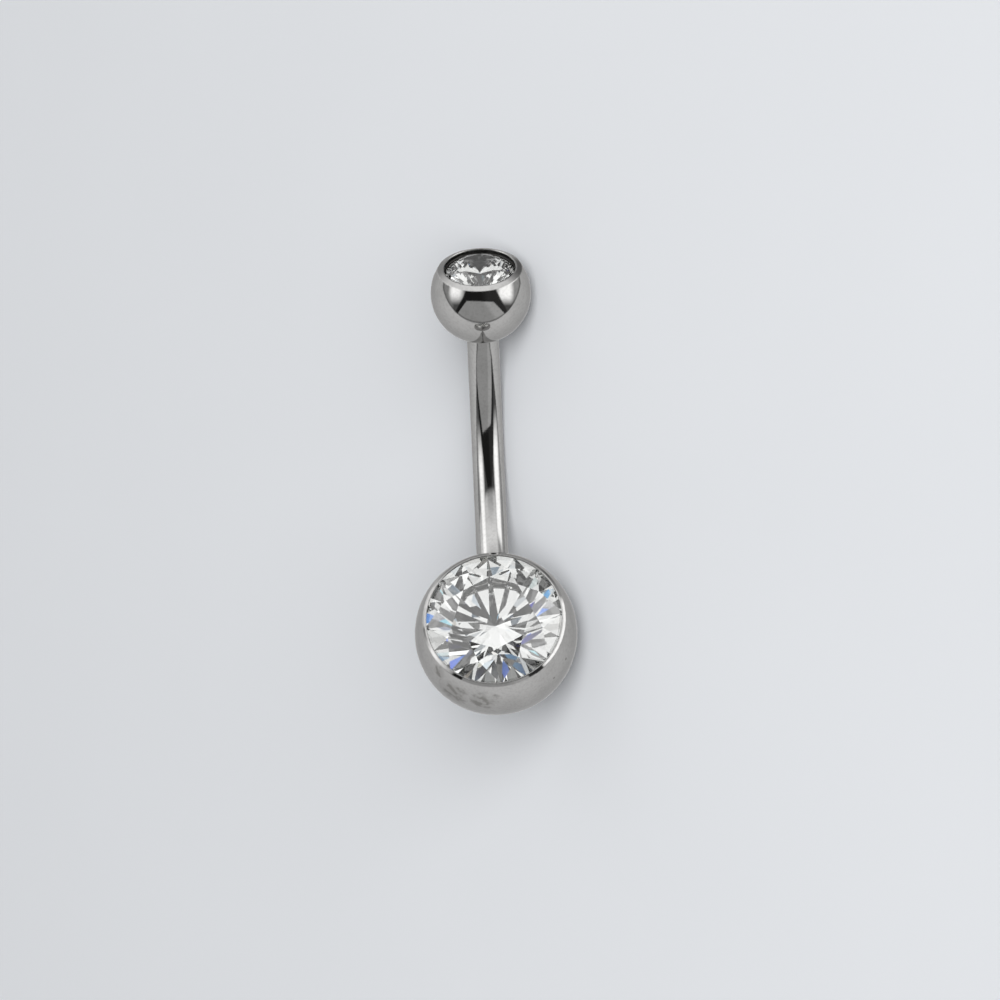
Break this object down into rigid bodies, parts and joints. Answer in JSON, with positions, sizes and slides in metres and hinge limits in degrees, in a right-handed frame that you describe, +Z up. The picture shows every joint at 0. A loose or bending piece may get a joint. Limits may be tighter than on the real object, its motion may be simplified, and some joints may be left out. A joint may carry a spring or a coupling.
{
  "type": "navel ring",
  "caption": "Curved navel barbell with a large jewelled ball fixed to its lower end and a small jewelled ball that unscrews from its upper end.",
  "frame": {"origin": "on the floor, at the middle of the box round the ring as it lies by itself on both balls and the outside of its bend", "axes": "+Z up from the floor; +X from the lower ball to the upper ball; the inside of the bend and the stones face -Y and up"},
  "size_m": [0.0234, 0.008, 0.008],
  "materials": {
    "polished_metal": "polished",
    "clear_stone": "polished"
  },
  "bodies": {
    "bar": {"bar_and_lower_ball": "polished_metal", "lower_stone": "clear_stone"},
    "upper_ball": {"upper_ball": "polished_metal", "upper_stone": "clear_stone"}
  },
  "joints": [
    {"name": "upper_ball_unscrew", "type": "slide", "parent": "bar", "child": "upper_ball", "axis": [0.7699, -0.5539, 0.317], "range_m": [0, 0.0017]}
  ]
}
